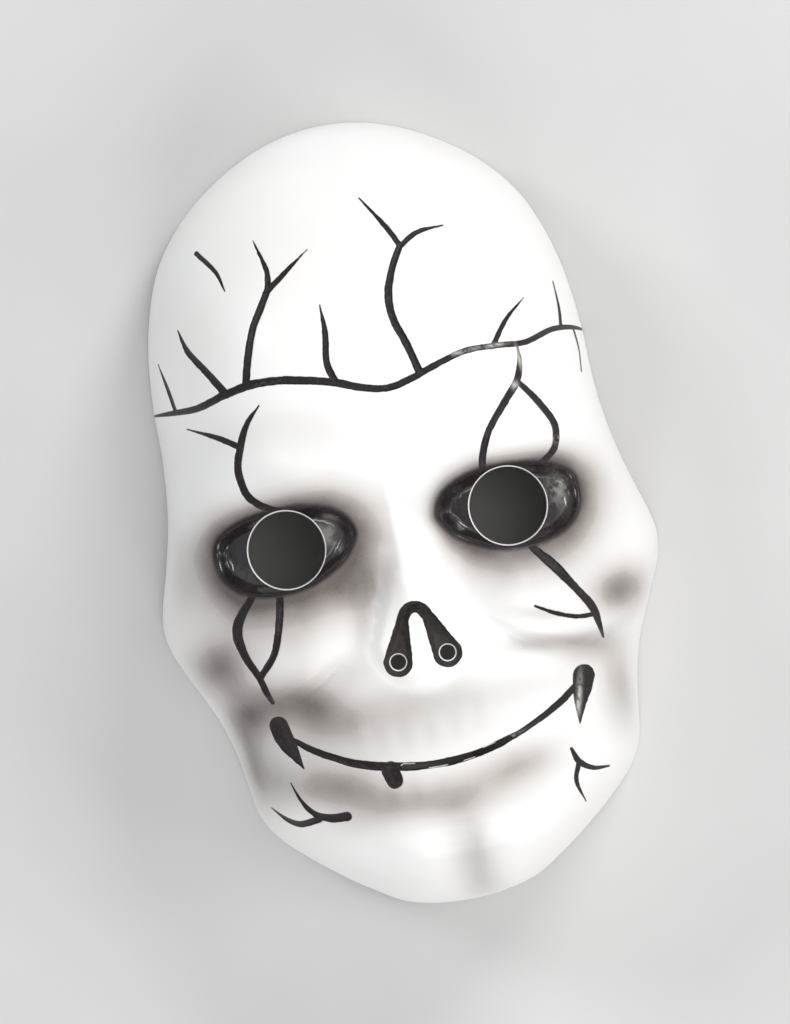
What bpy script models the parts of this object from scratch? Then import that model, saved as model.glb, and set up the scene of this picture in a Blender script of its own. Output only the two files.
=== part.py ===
"""A full-face skull mask: one thin shell of moulded white plastic, lying face up on its flat rim.

Metres. +Z points out of the face, +Y to the crown and +X to the viewer's right as they look at the face.
The origin is in the rim plane, in the middle of the mask's length and width.
The shell is a height above the rim plane: sections across the mask give its main form, and the relief, the
eye sockets and the nose opening raise or sink it.
"""

import math

import bpy
import numpy as np

# Main form
LENGTH = 0.2285  # chin to crown
WIDTH = 0.146  # across the cheekbones
DEPTH = 0.0715  # from the rim plane to the brow, before the relief
WALL = 0.0014
RELIEF = 0.0715  # the size that the relief's heights are shares of

# Eyes
EYE_LINE = -0.0045  # the height of the eyes on the mask's length
EYE_SPACING = 0.064
EYE_HOLE = 0.022
SOCKET_INNER = 0.01125  # from the middle to a socket's inner corner
SOCKET_SIDE = 0.02025  # from a socket's outer corner to the mask's widest
SOCKET_HEIGHT = 0.0250
SOCKET_SINK = 0.0062
SOCKET_SLOPE = 0.0055  # how far in from its edge the socket reaches its floor
EYE_BULGE = 0.0034  # the socket's floor swells round the eye hole by this
EYE_BULGE_REACH = 0.0135

# Nose opening: two tapered legs that meet in an arch, each with a nostril at its foot
NOSE_TOP = 0.0229  # below the eye line
NOSE_LENGTH = 0.0143
NOSE_SPREAD = 0.0071  # from the middle to the foot of a leg
NOSE_RADIUS = 0.0042  # at the foot of a leg
NOSE_SINK = 0.0027
NOSE_SLOPE = 0.0026
NOSTRIL = 0.0044

# Raised pad round the nose opening, wider at its foot
PAD_TOP = 0.0150  # below the eye line
PAD_LENGTH = 0.0165
PAD_TOP_RADIUS = 0.0080
PAD_FOOT_RADIUS = 0.0150
PAD_RISE = 0.0022
PAD_SLOPE = 0.0060

# Mouth: a line that curves up to its corners, cut through along its middle stretch
MOUTH_DROP = 0.0673  # the lowest point, below the eye line
MOUTH_HALF = 0.0410
MOUTH_RISE = 0.0135  # from the lowest point to the corners
SLIT_LEFT = -0.012
SLIT_RIGHT = 0.020
SLIT_WIDTH = 0.0014

# Underside of the cheekbones: a crease with the cheek hollow below it
CREASE_DROP = 0.0415  # below the eye line
CREASE_AT = 0.046  # its lowest point, out from the middle
CREASE_RISE = 0.0055  # over the distance below
CREASE_REACH = 0.018
CREASE_EDGE = 0.0080  # the height over which the step rises
CHEEK_LIFT = 0.0048
CHEEK_HEIGHT = 0.020  # how far up the cheekbone the lift fades out
CHEEK_INNER = 0.016  # where the cheekbone starts, out from the middle

# Strap holes in the side walls
STRAP_HOLE = 0.0032
STRAP_LINE = 0.0250  # above the eye line
STRAP_HEIGHT = 0.0100  # above the rim plane

# Mesh
CELLS_ACROSS = 40
CELLS_ALONG = 60
RIM_SHARE = 0.45  # how far the rows are drawn to the rim, where the wall is steep
FACE_SHARE = 0.25  # how far the rows are drawn from the forehead to the face
RIM_SKIRT = 0.006  # the sheet runs on below the rim plane by this, and is cut off there
ROUND_SIDES = 32
SMALL_SIDES = 12
CUT_ROOM = 0.010  # how far a cutter reaches past what it cuts

# Sections across the mask, chin to crown.
# at: share of the half length, half_width: share of the half width, height: share of DEPTH,
# fullness: power of the section, higher is boxier.
SECTIONS = (
    # at, half_width, height, fullness
    (-0.978, 0.240, 0.460, 2.6),
    (-0.942, 0.350, 0.680, 2.6),
    (-0.889, 0.470, 0.830, 2.6),
    (-0.819, 0.605, 0.915, 2.7),
    (-0.748, 0.716, 0.955, 2.9),
    (-0.695, 0.764, 0.975, 3.1),
    (-0.615, 0.790, 0.990, 3.1),
    (-0.527, 0.812, 0.990, 3.0),
    (-0.438, 0.850, 0.985, 3.0),
    (-0.376, 0.890, 0.975, 3.1),
    (-0.305, 0.942, 0.970, 3.3),
    (-0.235, 0.988, 0.960, 3.4),
    (-0.173, 1.000, 0.955, 3.3),
    (-0.111, 0.981, 0.952, 3.2),
    (-0.040, 0.948, 0.955, 3.1),
    (0.093, 0.898, 0.980, 3.0),
    (0.226, 0.873, 1.000, 2.9),
    (0.358, 0.868, 0.985, 2.8),
    (0.491, 0.850, 0.950, 2.7),
    (0.624, 0.802, 0.888, 2.6),
    (0.757, 0.706, 0.775, 2.5),
    (0.854, 0.570, 0.640, 2.4),
    (0.934, 0.385, 0.445, 2.4),
)

# Bosses and hollows, the ones off the middle on both sides.
# x, spread_x: shares of the half width, y, spread_y: shares of the half length, tilt: degrees,
# rise: share of RELIEF.
BOSSES = (
    # x, y, spread_x, spread_y, tilt, rise
    (0.340, 0.150, 0.250, 0.070, 8, 0.062),  # brow ridge
    (0.740, 0.110, 0.130, 0.090, 0, 0.040),  # outer end of the brow
    (0.000, 0.130, 0.130, 0.080, 0, 0.014),  # between the brows
    (0.000, -0.005, 0.120, 0.075, 0, -0.058),  # root of the nose
    (0.000, -0.150, 0.085, 0.110, 0, 0.068),  # nasal bone
    (0.210, -0.170, 0.100, 0.110, 0, -0.030),  # flank of the nose
    (0.000, -0.330, 0.200, 0.110, 0, 0.020),  # round the nose opening
    (0.440, -0.240, 0.220, 0.050, 0, 0.020),  # lower edge of the socket
    (0.570, -0.480, 0.190, 0.070, -6, -0.055),  # hollow of the cheek
    (0.000, -0.590, 0.440, 0.150, 0, 0.068),  # teeth
    (0.640, -0.690, 0.150, 0.110, 0, 0.040),  # corner of the jaw
    (0.000, -0.780, 0.330, 0.042, 0, -0.034),  # dip under the teeth
    (0.160, -0.860, 0.170, 0.080, 0, 0.052),  # chin
    (0.780, 0.320, 0.120, 0.190, 0, -0.055),  # temple
    (0.360, 0.465, 0.280, 0.160, 0, 0.028),  # forehead
)
RELIEF_FADE = 0.30  # the relief fades out below this share of DEPTH

# Outline of the right socket about its eye. x: share of the way to its inner or outer corner,
# y: share of its half height.
SOCKET = (
    # x, y
    (-0.99, 0.14),
    (-0.88, 0.54),
    (-0.63, 0.81),
    (-0.29, 0.94),
    (0.07, 0.96),
    (0.43, 0.89),
    (0.75, 0.73),
    (0.96, 0.45),
    (1.01, 0.04),
    (0.94, -0.43),
    (0.70, -0.81),
    (0.34, -0.99),
    (-0.05, -0.99),
    (-0.43, -0.82),
    (-0.76, -0.50),
    (-0.94, -0.13),
)
SOCKET_STEPS = 5  # points on each stretch of its smooth outline

# Right leg of the nose opening, from the middle of the arch to its foot.
# x: share of NOSE_SPREAD, y: share of NOSE_LENGTH down, radius: share of NOSE_RADIUS.
NOSE_LEG = (
    # x, y, radius
    (0.00, 0.00, 0.37),
    (0.32, 0.05, 0.38),
    (0.52, 0.20, 0.42),
    (1.00, 1.00, 1.00),
)


def smooth_step(value):
    """0 below 0, 1 above 1 and a smooth rise between."""
    share = np.clip(value, 0.0, 1.0)
    return share * share * (3.0 - 2.0 * share)


def through(stations, values, at):
    """A smooth curve through a column of the sections table, read at any place, flat past its ends."""
    knots = np.array(stations)
    heights = np.array(values)
    slopes = np.gradient(heights, knots)
    place = np.clip(at, knots[0], knots[-1])
    index = np.clip(np.searchsorted(knots, place) - 1, 0, len(knots) - 2)
    gap = knots[index + 1] - knots[index]
    t = (place - knots[index]) / gap
    start = (1 + 2 * t) * (1 - t) ** 2 * heights[index] + t * (1 - t) ** 2 * gap * slopes[index]
    end = t * t * (3 - 2 * t) * heights[index + 1] + t * t * (t - 1) * gap * slopes[index + 1]
    return start + end


def round_end(at):
    """How the plan narrows to its two ends."""
    return np.sqrt(np.maximum(1.0 - at * at, 0.0))


def blunt_end(at):
    """How the height drops at the chin and the crown."""
    return np.sqrt(np.maximum(1.0 - at**6, 0.0))


def half_width(at):
    """The half width over the round end's, so that it has no steep end of its own."""
    stations, widths, _, _ = zip(*SECTIONS)
    shares = np.array(widths) / round_end(np.array(stations))
    return through(stations, shares, at) * WIDTH / 2


def main_form(x, y):
    """The height of the plain shell, without its relief."""
    stations, _, heights, powers = zip(*SECTIONS)
    at = np.clip(y / (LENGTH / 2), -1.0, 1.0)
    middle = through(stations, np.array(heights) / blunt_end(np.array(stations)), at) * blunt_end(at)
    width = np.maximum(half_width(at) * round_end(at), 1e-9)
    out = np.clip(np.abs(x) / width, 0.0, 1.0)
    return DEPTH * middle * np.sqrt(1.0 - out ** through(stations, powers, at))


def boss(x, y, row, side):
    """One boss or hollow of the table, as a round swelling with its own spread each way."""
    at_x, at_y, spread_x, spread_y, tilt, rise = row
    turn = math.radians(tilt) * side
    across = x - side * at_x * WIDTH / 2
    along = y - at_y * LENGTH / 2
    u = (across * math.cos(turn) + along * math.sin(turn)) / (spread_x * WIDTH / 2)
    v = (along * math.cos(turn) - across * math.sin(turn)) / (spread_y * LENGTH / 2)
    return rise * RELIEF * np.exp(-u * u - v * v)


def cheekbone(x, y):
    """The lift of the cheekbones above the crease on their underside."""
    out = np.abs(x)
    crease = EYE_LINE - CREASE_DROP + CREASE_RISE * ((out - CREASE_AT) / CREASE_REACH) ** 2
    above = y - crease
    start = smooth_step((out - CHEEK_INNER) / CREASE_REACH)
    step = smooth_step(above / CREASE_EDGE + 0.5)
    return CHEEK_LIFT * start * step * np.exp(-((np.maximum(above, 0.0) / CHEEK_HEIGHT) ** 2))


def socket_outline():
    """The closed outline of the right socket as a smooth curve through its points."""
    inward = EYE_SPACING / 2 - SOCKET_INNER
    outward = WIDTH / 2 - SOCKET_SIDE - EYE_SPACING / 2
    across, along = np.array(SOCKET).T
    across = EYE_SPACING / 2 + across * np.where(across < 0, inward, outward)
    points = np.stack((across, EYE_LINE + along * SOCKET_HEIGHT / 2), -1)
    before, after, beyond = np.roll(points, 1, 0), np.roll(points, -1, 0), np.roll(points, -2, 0)
    outline = []
    for step in range(SOCKET_STEPS):
        t = step / SOCKET_STEPS
        curve = 2 * points + (after - before) * t
        curve = curve + (2 * before - 5 * points + 4 * after - beyond) * t * t
        curve = curve + (3 * points - before - 3 * after + beyond) * t**3
        outline.append(curve / 2)
    return np.stack(outline, 1).reshape(-1, 2)


def inside_socket(x, y):
    """The distance inward from the edge of a socket, negative outside it."""
    outline = socket_outline()
    away = np.full(np.shape(x), np.inf)
    inside = np.zeros(np.shape(x), bool)
    out = np.abs(x)
    for (x0, y0), (x1, y1) in zip(outline, np.roll(outline, -1, 0)):
        run, climb = x1 - x0, y1 - y0
        t = np.clip(((out - x0) * run + (y - y0) * climb) / (run * run + climb * climb), 0.0, 1.0)
        away = np.minimum(away, np.hypot(out - x0 - t * run, y - y0 - t * climb))
        crosses = (y0 > y) != (y1 > y)
        inside ^= crosses & (out < x0 + (y - y0) * run / (climb if climb else 1e-12))
    return np.where(inside, away, -away)


def inside_line(x, y, points):
    """The distance inward from the edge of a line with a radius at each point, negative outside it."""
    stretches = []
    for (x0, y0, r0), (x1, y1, r1) in zip(points[:-1], points[1:]):
        run, climb = x1 - x0, y1 - y0
        t = np.clip(((x - x0) * run + (y - y0) * climb) / (run * run + climb * climb), 0.0, 1.0)
        stretches.append(r0 + (r1 - r0) * t - np.hypot(x - x0 - t * run, y - y0 - t * climb))
    return np.max(stretches, 0)


def inside_nose(x, y):
    """The distance inward from the edge of the nose opening, negative outside it."""
    top = EYE_LINE - NOSE_TOP
    leg = [(a * NOSE_SPREAD, top - b * NOSE_LENGTH, radius * NOSE_RADIUS) for a, b, radius in NOSE_LEG]
    return inside_line(np.abs(x), y, leg)


def inside_pad(x, y):
    """The distance inward from the edge of the pad round the nose opening."""
    top = EYE_LINE - PAD_TOP
    return inside_line(x, y, ((0.0, top, PAD_TOP_RADIUS), (0.0, top - PAD_LENGTH, PAD_FOOT_RADIUS)))


def height(x, y):
    """The height of the shell's outer face above the rim plane."""
    plain = main_form(x, y)
    relief = cheekbone(x, y)
    for row in BOSSES:
        for side in (1, -1) if row[0] else (1,):
            relief = relief + boss(x, y, row, side)
    from_eye = np.hypot(np.abs(x) - EYE_SPACING / 2, y - EYE_LINE) / EYE_BULGE_REACH
    floor = SOCKET_SINK - EYE_BULGE * np.exp(-(from_eye**2))
    relief = relief - floor * smooth_step(inside_socket(x, y) / SOCKET_SLOPE)
    relief = relief - NOSE_SINK * smooth_step(inside_nose(x, y) / NOSE_SLOPE)
    relief = relief + PAD_RISE * smooth_step(inside_pad(x, y) / PAD_SLOPE)
    return plain + relief * smooth_step(plain / (RELIEF_FADE * DEPTH))


def plan(across, along):
    """The place on the plan of a point of the square from -1 to 1, with rows closer at the rim and the face."""
    along = along - FACE_SHARE * (1 - along**2)
    u = across * np.sqrt(1 - along**2 / 2)
    v = along * np.sqrt(1 - across**2 / 2)
    radius = np.maximum(np.hypot(u, v), 1e-9)
    spread = (1 - RIM_SHARE) + RIM_SHARE * np.sin(radius * math.pi / 2) / radius
    u, v = u * spread, v * spread
    return u * half_width(v), v * LENGTH / 2


def mesh_object(name, vertices, faces):
    mesh = bpy.data.meshes.new(name)
    mesh.from_pydata(vertices, [], faces)
    mesh.update()
    made = bpy.data.objects.new(name, mesh)
    bpy.context.scene.collection.objects.link(made)
    return made


def shell_sheet():
    """The outer face as a sheet of quads, with a skirt that runs on below the rim plane."""
    rows, columns = CELLS_ALONG + 1, CELLS_ACROSS + 1
    along, across = np.meshgrid(np.linspace(-1, 1, rows), np.linspace(-1, 1, columns), indexing="ij")
    x, y = plan(across, along)
    places = np.stack((x, y, height(x, y)), -1).reshape(-1, 3)
    vertices = [tuple(place) for place in places]
    number = np.arange(rows * columns).reshape(rows, columns)
    faces = []
    for i in range(rows - 1):
        for j in range(columns - 1):
            faces.append((number[i, j], number[i, j + 1], number[i + 1, j + 1], number[i + 1, j]))
    edge = [*number[0, :-1], *number[:-1, -1], *number[-1, :0:-1], *number[:0:-1, 0]]
    first = len(vertices)
    vertices += [(*places[k][:2], -RIM_SKIRT) for k in edge]
    for k, corner in enumerate(edge):
        following = (k + 1) % len(edge)
        faces.append((first + k, first + following, edge[following], corner))
    return mesh_object("mask_shell", vertices, [tuple(int(k) for k in face) for face in faces])


def prism(name, outline, bottom, top):
    """A closed prism over an outline in the plan."""
    count = len(outline)
    vertices = [(x, y, z) for z in (bottom, top) for x, y in outline]
    sides = [(k, (k + 1) % count, count + (k + 1) % count, count + k) for k in range(count)]
    return mesh_object(name, vertices, [tuple(range(count))[::-1], tuple(range(count, 2 * count)), *sides])


def circle(x, y, diameter, sides):
    turns = [2 * math.pi * (k + 0.5) / sides for k in range(sides)]
    return [(x + diameter / 2 * math.cos(a), y + diameter / 2 * math.sin(a)) for a in turns]


def mouth_line(x):
    return EYE_LINE - MOUTH_DROP + MOUTH_RISE * (x / MOUTH_HALF) ** 2


def slit_outline():
    """The mouth slit: the mouth's line, half the slit's width to each side."""
    places = np.linspace(SLIT_LEFT, SLIT_RIGHT, 9)
    lower = [(x, mouth_line(x) - SLIT_WIDTH / 2) for x in places]
    upper = [(x, mouth_line(x) + SLIT_WIDTH / 2) for x in places[::-1]]
    return lower + upper


def cutters():
    """What is cut out of the shell: the waste below the rim plane and each hole."""
    low, high = DEPTH / 4, DEPTH + RELIEF / 4 + CUT_ROOM
    far_x, far_y = WIDTH / 2 + CUT_ROOM, LENGTH / 2 + CUT_ROOM
    floor = [(-far_x, -far_y), (far_x, -far_y), (far_x, far_y), (-far_x, far_y)]
    made = [prism("floor_cut", floor, -RIM_SKIRT - CUT_ROOM, 0.0)]
    for side, word in ((-1, "left"), (1, "right")):
        eye = circle(side * EYE_SPACING / 2, EYE_LINE, EYE_HOLE, ROUND_SIDES)
        foot = EYE_LINE - NOSE_TOP - NOSE_LENGTH
        nostril = circle(side * NOSE_SPREAD, foot, NOSTRIL, SMALL_SIDES)
        made.append(prism(f"eye_cut_{word}", eye, low, high))
        made.append(prism(f"nostril_cut_{word}", nostril, low, high))
        strap = prism(f"strap_cut_{word}", circle(0, 0, STRAP_HOLE, SMALL_SIDES), WIDTH / 4, far_x)
        strap.rotation_euler = (0, side * math.pi / 2, 0)
        strap.location = (0, EYE_LINE + STRAP_LINE, STRAP_HEIGHT)
        made.append(strap)
    made.append(prism("mouth_cut", slit_outline(), low, high))
    return made


def plastic():
    made = bpy.data.materials.new("white_plastic")
    made.use_nodes = True
    surface = made.node_tree.nodes["Principled BSDF"]
    surface.inputs["Base Color"].default_value = (0.86, 0.85, 0.82, 1)
    surface.inputs["Roughness"].default_value = 0.38
    return made


def main():
    for old in list(bpy.data.objects):
        bpy.data.objects.remove(old)
    shell = shell_sheet()
    shell.data.materials.append(plastic())
    shell.data.shade_smooth()
    thick = shell.modifiers.new("wall", "SOLIDIFY")
    thick.thickness = WALL
    thick.offset = -1
    thick.use_quality_normals = True
    shell.modifiers.new("flat_faces", "TRIANGULATE")
    for cutter in cutters():
        cutter.hide_render = True
        cutter.display_type = "WIRE"
        cut = shell.modifiers.new(cutter.name, "BOOLEAN")
        cut.operation = "DIFFERENCE"
        cut.solver = "EXACT"
        cut.object = cutter


main()
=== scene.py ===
"""The looks of a white skull mask that lies face up on a pale floor.

The mask is one moulded shell. Its outer face is a height above the rim plane, worked out by the same sections,
bosses, sockets and nose as the solid's, with the fine forms added: cracks, mouth, teeth and chin cleft.
"""

import math

import bmesh
import bpy
import numpy as np
from mathutils import Matrix, Vector


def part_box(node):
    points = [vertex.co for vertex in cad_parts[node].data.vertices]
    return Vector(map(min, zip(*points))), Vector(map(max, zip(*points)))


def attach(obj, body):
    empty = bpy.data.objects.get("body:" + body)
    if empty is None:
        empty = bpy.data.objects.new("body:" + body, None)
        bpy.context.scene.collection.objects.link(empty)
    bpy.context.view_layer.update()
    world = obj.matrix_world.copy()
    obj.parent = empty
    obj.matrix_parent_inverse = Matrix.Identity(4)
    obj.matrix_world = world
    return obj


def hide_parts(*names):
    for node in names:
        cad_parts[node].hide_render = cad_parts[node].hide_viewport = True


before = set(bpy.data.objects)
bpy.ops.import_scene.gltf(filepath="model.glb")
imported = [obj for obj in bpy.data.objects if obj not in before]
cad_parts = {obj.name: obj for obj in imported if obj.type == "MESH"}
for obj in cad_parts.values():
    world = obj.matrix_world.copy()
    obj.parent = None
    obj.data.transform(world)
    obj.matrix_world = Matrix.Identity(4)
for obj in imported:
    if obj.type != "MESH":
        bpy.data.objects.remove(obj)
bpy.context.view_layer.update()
low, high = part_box("mask_shell")

MM = 0.001

# Main form, as the solid has it
LENGTH = high.y - low.y
WIDTH = high.x - low.x
DEPTH = 0.0715
RELIEF = 0.0715
RELIEF_FADE = 0.30
WALL = 0.0014

# Eyes
EYE_LINE = -0.0045
EYE_SPACING = 0.064
EYE_HOLE = 0.022
SOCKET_INNER = 0.01125
SOCKET_SIDE = 0.02025
SOCKET_HEIGHT = 0.0250
SOCKET_SINK = 0.0062
SOCKET_SLOPE = 0.0048
EYE_BULGE = 0.0034
EYE_BULGE_REACH = 0.0135
SOCKET_LIP = 0.0005  # a soft raised edge round each socket
SOCKET_LIP_REACH = 0.0030

# Nose opening
NOSE_TOP = 0.0229
NOSE_LENGTH = 0.0143
NOSE_SPREAD = 0.0071
NOSE_RADIUS = 0.0042
NOSE_SINK = 0.0027
NOSE_SLOPE = 0.0018
NOSTRIL = 0.0044
NOSE_FOOT = NOSE_TOP + NOSE_LENGTH

# Raised pad round the nose opening
PAD_TOP = 0.0150
PAD_LENGTH = 0.0165
PAD_TOP_RADIUS = 0.0080
PAD_FOOT_RADIUS = 0.0150
PAD_RISE = 0.0024
PAD_SLOPE = 0.0048

# Mouth
MOUTH_DROP = 0.0673
MOUTH_HALF = 0.0410
MOUTH_RISE = 0.0135
SLIT_LEFT = -0.012
SLIT_RIGHT = 0.020
SLIT_WIDTH = 0.0014

# Underside of the cheekbones
CREASE_DROP = 0.0415
CREASE_AT = 0.046
CREASE_RISE = 0.0055
CREASE_REACH = 0.018
CREASE_EDGE = 0.0046
CHEEK_LIFT = 0.0048
CHEEK_HEIGHT = 0.020
CHEEK_INNER = 0.016

# Strap holes
STRAP_HOLE = 0.0032
STRAP_LINE = 0.0250
STRAP_HEIGHT = 0.0100

# Fine forms
GROOVE_SINK = 0.7 * MM  # depth of the cracks
GROOVE_SLOPE = 0.8 * MM
GROOVE_EARLY = 0.25  # a groove starts this share of its slope outside the paint
GROOVE_MARGIN = 0.9 * MM  # a line wider than this to each side is deeper in its middle
GROOVE_DISH = 1.5 * MM
GROOVE_STOP = 2.2 * MM  # a crack runs out over this much before it meets a socket
THINNEST = 0.4 * MM  # width of the thinnest line
GROOVE_DEEPENING = 0.40 * MM
TOOTH_WIDTH = 7.2 * MM
TOOTH_RELIEF = 0.34 * MM
TEETH_HALF = 32 * MM
UPPER_TEETH = (1.5 * MM, 18 * MM)  # from and to, above the mouth's line
LOWER_TEETH = (-13 * MM, -1.5 * MM)
CLEFT_AT = 3.0 * MM
CLEFT_SPREAD = 2.6 * MM
CLEFT_LINE = -94 * MM  # its middle, from the eye line
CLEFT_REACH = 11 * MM
CLEFT_SINK = 0.7 * MM
HOLE_BEVEL = 0.34 * MM
SLIT_BEVEL = 0.24 * MM
SLIT_STEPS = 64
# Where the paint is off the lip of the slit. start, end: millimetres along x, side: 1 is the upper lip,
# -1 the lower.
WORN_LIP = (
    # start, end, side
    (-12.5, -8.0, 1),
    (-4.5, 1.0, -1),
    (5.5, 9.0, -1),
    (11.5, 15.5, 1),
)

# Mesh
CELLS_ACROSS = 92
CELLS_ALONG = 132
RIM_SHARE = 0.45
FACE_SHARE = 0.25
# Cells nearer to an edge than each of these in turn are halved
OUTER_BANDS = (3.2 * MM, 0.75 * MM, 0.22 * MM)
INNER_BANDS = (4.0 * MM, 2.1 * MM, 0.001 * MM)
STRAP_ZONE = 4.5 * MM  # cells this near a strap hole's middle are halved each time
CREASE_BAND = 3.6 * MM  # the crease counts as an edge over this height
RING_STEPS = 96
SMALL_RING_STEPS = 40
RIM_STEPS = 400
SLIT_END_STEPS = 7
CUT_HALVINGS = 18  # how often a step is halved to find where a sheet is cut
WALL_HALVINGS = 30  # and to find the side wall at a strap hole
NORMAL_STEP = 0.05 * MM  # slopes of the outer face are measured over this
INNER_STEP = 0.8 * MM  # and those of the inner face over this
STRAP_SEARCH = WIDTH / 4  # the strap holes lie further out than this
STRAP_LIP = 1.05 * WALL  # depth of a strap hole's cut edge
OUT_OF_REACH = 1.0  # further than anything on the mask
FAR = 8 * MM  # distances from a stroke are worked out up to this
EDGE_LIMIT = 6.0  # distances from a painted edge are kept within this, in millimetres
SOCKET_LIMIT = 12.0
PAINTED_SLOT = 0  # places of the mask's two materials
BARE_SLOT = 1

# Sections across the mask, chin to crown.
# at: share of the half length, half_width: share of the half width, height: share of DEPTH,
# fullness: power of the section, higher is boxier.
SECTIONS = (
    # at, half_width, height, fullness
    (-0.978, 0.240, 0.460, 2.6),
    (-0.942, 0.350, 0.680, 2.6),
    (-0.889, 0.470, 0.830, 2.6),
    (-0.819, 0.605, 0.915, 2.7),
    (-0.748, 0.716, 0.955, 2.9),
    (-0.695, 0.764, 0.975, 3.1),
    (-0.615, 0.790, 0.990, 3.1),
    (-0.527, 0.812, 0.990, 3.0),
    (-0.438, 0.850, 0.985, 3.0),
    (-0.376, 0.890, 0.975, 3.1),
    (-0.305, 0.942, 0.970, 3.3),
    (-0.235, 0.988, 0.960, 3.4),
    (-0.173, 1.000, 0.955, 3.3),
    (-0.111, 0.981, 0.952, 3.2),
    (-0.040, 0.948, 0.955, 3.1),
    (0.093, 0.898, 0.980, 3.0),
    (0.226, 0.873, 1.000, 2.9),
    (0.358, 0.868, 0.985, 2.8),
    (0.491, 0.850, 0.950, 2.7),
    (0.624, 0.802, 0.888, 2.6),
    (0.757, 0.706, 0.775, 2.5),
    (0.854, 0.570, 0.640, 2.4),
    (0.934, 0.385, 0.445, 2.4),
)

# Bosses and hollows, the ones off the middle on both sides.
# x, spread_x: shares of the half width, y, spread_y: shares of the half length, tilt: degrees,
# rise: share of RELIEF.
BOSSES = (
    # x, y, spread_x, spread_y, tilt, rise
    (0.340, 0.150, 0.250, 0.070, 8, 0.062),  # brow ridge
    (0.740, 0.110, 0.130, 0.090, 0, 0.040),  # outer end of the brow
    (0.000, 0.130, 0.130, 0.080, 0, 0.014),  # between the brows
    (0.000, -0.005, 0.120, 0.075, 0, -0.058),  # root of the nose
    (0.000, -0.150, 0.085, 0.110, 0, 0.068),  # nasal bone
    (0.210, -0.170, 0.100, 0.110, 0, -0.030),  # flank of the nose
    (0.000, -0.330, 0.200, 0.110, 0, 0.020),  # round the nose opening
    (0.440, -0.240, 0.220, 0.050, 0, 0.020),  # lower edge of the socket
    (0.570, -0.480, 0.190, 0.070, -6, -0.055),  # hollow of the cheek
    (0.000, -0.590, 0.440, 0.150, 0, 0.068),  # teeth
    (0.640, -0.690, 0.150, 0.110, 0, 0.040),  # corner of the jaw
    (0.000, -0.780, 0.330, 0.042, 0, -0.034),  # dip under the teeth
    (0.160, -0.860, 0.170, 0.080, 0, 0.052),  # chin
    (0.780, 0.320, 0.120, 0.190, 0, -0.055),  # temple
    (0.360, 0.465, 0.280, 0.160, 0, 0.028),  # forehead
)

# Outline of the right socket about its eye. x: share of the way to its inner or outer corner,
# y: share of its half height.
SOCKET = (
    # x, y
    (-0.99, 0.14),
    (-0.88, 0.54),
    (-0.63, 0.81),
    (-0.29, 0.94),
    (0.07, 0.96),
    (0.43, 0.89),
    (0.75, 0.73),
    (0.96, 0.45),
    (1.01, 0.04),
    (0.94, -0.43),
    (0.70, -0.81),
    (0.34, -0.99),
    (-0.05, -0.99),
    (-0.43, -0.82),
    (-0.76, -0.50),
    (-0.94, -0.13),
)
SOCKET_STEPS = 5

# Right leg of the nose opening, from the middle of the arch to its foot, rounder than the solid's.
# x: share of NOSE_SPREAD, y: share of NOSE_LENGTH down, radius: share of NOSE_RADIUS.
NOSE_LEG = (
    # x, y, radius
    (0.00, -0.02, 0.41),
    (0.17, 0.00, 0.41),
    (0.33, 0.06, 0.42),
    (0.45, 0.15, 0.43),
    (0.54, 0.26, 0.45),
    (1.00, 1.00, 1.00),
)
STROKE_STEPS = 6

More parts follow.
